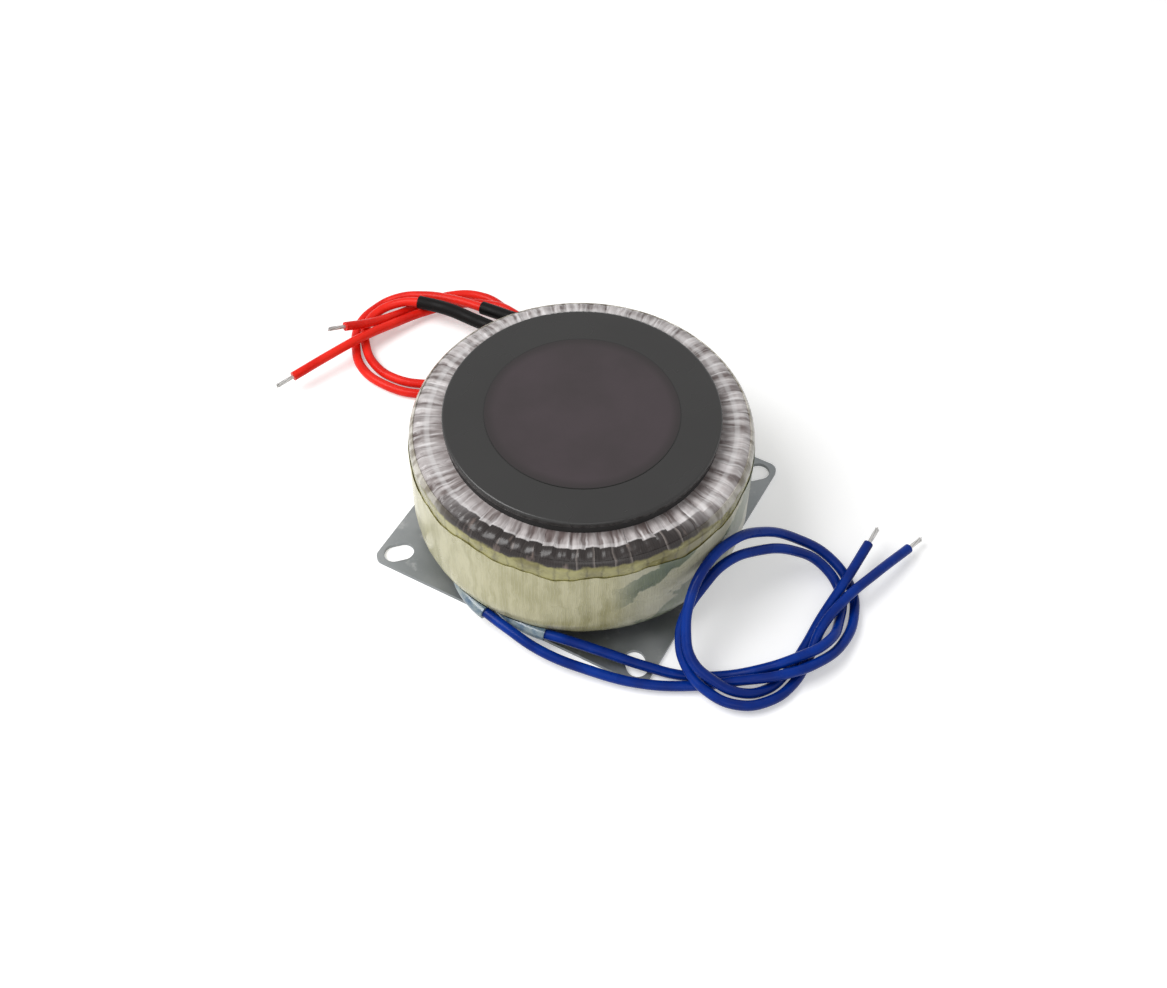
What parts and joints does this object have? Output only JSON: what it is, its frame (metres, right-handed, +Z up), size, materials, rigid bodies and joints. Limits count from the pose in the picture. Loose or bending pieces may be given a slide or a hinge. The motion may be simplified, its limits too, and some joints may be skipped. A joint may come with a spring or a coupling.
{
  "type": "toroidal transformer",
  "caption": "Toroidal mains transformer on a square slotted steel plate, tape-wrapped winding, dark cover disc, two blue and two red flying leads.",
  "frame": {"origin": "centre of the underside of the square mounting plate", "axes": "+Z up through the ring's axis; the plate's corners and slots lie on the X and Y axes; the blue leads leave towards -Y"},
  "size_m": [0.1415, 0.1469, 0.0385],
  "materials": {
    "plate_steel": "satin",
    "pad_rubber": "matte",
    "core_steel": "satin",
    "wrap_film": "translucent gloss",
    "copper": "enamelled",
    "olive_tape": "gloss",
    "side_tape": "semi-gloss",
    "cover_paint": "satin",
    "zinc": "zinc plated",
    "label_print": "satin",
    "blue_pvc": "gloss",
    "red_pvc": "gloss",
    "sleeve_black": "matte",
    "tinned": "tinned strands"
  },
  "bodies": {
    "root": {"mounting_plate": "plate_steel", "lower_pad": "pad_rubber", "core": "core_steel", "core_wrap": "wrap_film", "primary_winding": "copper", "interlayer_tape": "wrap_film", "secondary_winding": "copper", "outer_film": "wrap_film", "under_tape": "olive_tape", "side_tape": "side_tape", "blue_exit_tape": "side_tape", "red_exit_tape": "side_tape", "upper_pad": "pad_rubber", "cover_disc": "cover_paint", "centre_screw": "zinc", "flat_washer": "zinc", "spring_washer": "zinc", "nut": "zinc", "label": "label_print", "blue_lead_a": "blue_pvc", "blue_lead_b": "blue_pvc", "red_lead_a": "red_pvc", "red_lead_b": "red_pvc", "sleeve_a": "sleeve_black", "sleeve_b": "sleeve_black", "blue_tip_a": "tinned", "blue_tip_b": "tinned", "red_tip_a": "tinned", "red_tip_b": "tinned"}
  },
  "joints": []
}
